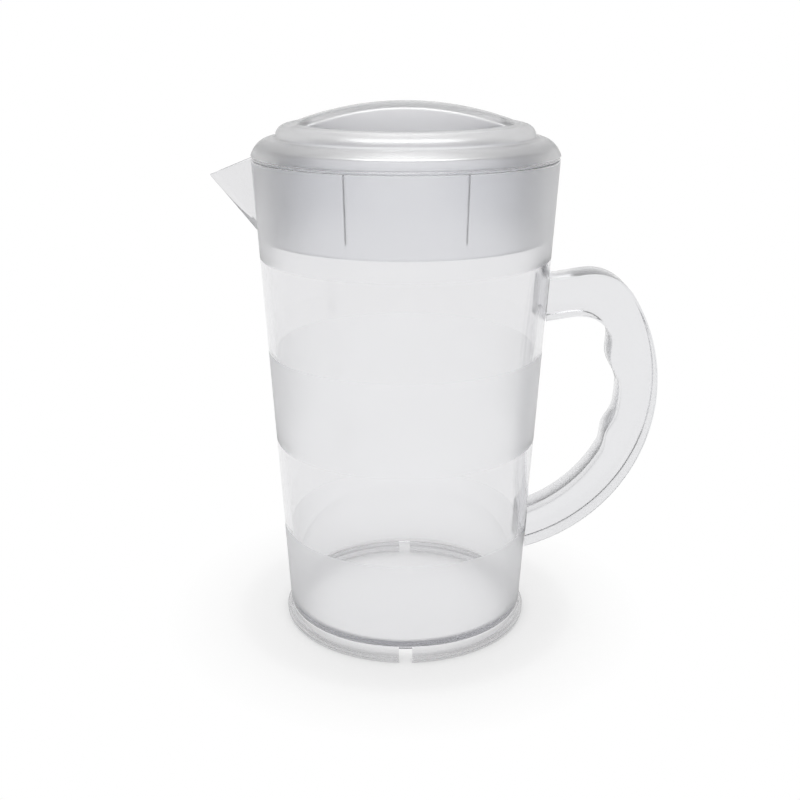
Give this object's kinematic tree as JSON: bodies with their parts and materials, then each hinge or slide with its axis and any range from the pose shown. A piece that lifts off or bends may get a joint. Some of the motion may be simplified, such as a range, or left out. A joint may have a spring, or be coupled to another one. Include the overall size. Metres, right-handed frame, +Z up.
{
  "type": "plastic jug",
  "caption": "Clear plastic serving jug with frosted bands, a beak spout, a bar handle with finger swells and a domed lid whose pour ring turns to open or strain.",
  "frame": {"origin": "on the table, under the middle of the object's box", "axes": "+Z up along the jug, +X from the spout to the handle, +Y to the back"},
  "size_m": [0.1906, 0.1272, 0.2276],
  "materials": {
    "jug_plastic": "clear, with level frosted bands round the wall",
    "handle_plastic": "clear",
    "seal_rubber": "clear, soft",
    "lid_plastic": "frosted",
    "ring_plastic": "frosted"
  },
  "bodies": {
    "jug": {"jug_body": "jug_plastic", "handle": "handle_plastic"},
    "seal": {"seal_ring": "seal_rubber"},
    "lid": {"lid_cap": "lid_plastic", "pour_ring": "ring_plastic"}
  },
  "joints": [
    {"name": "lid_lift", "type": "slide", "parent": "jug", "child": "seal", "axis": [0, 0, 1], "range_m": [0, 0.06]},
    {"name": "lid_turn", "type": "hinge", "parent": "seal", "child": "lid", "pos_m": [-0.0138, 0, 0.2062], "axis": [0, 0, 1], "continuous": true}
  ]
}
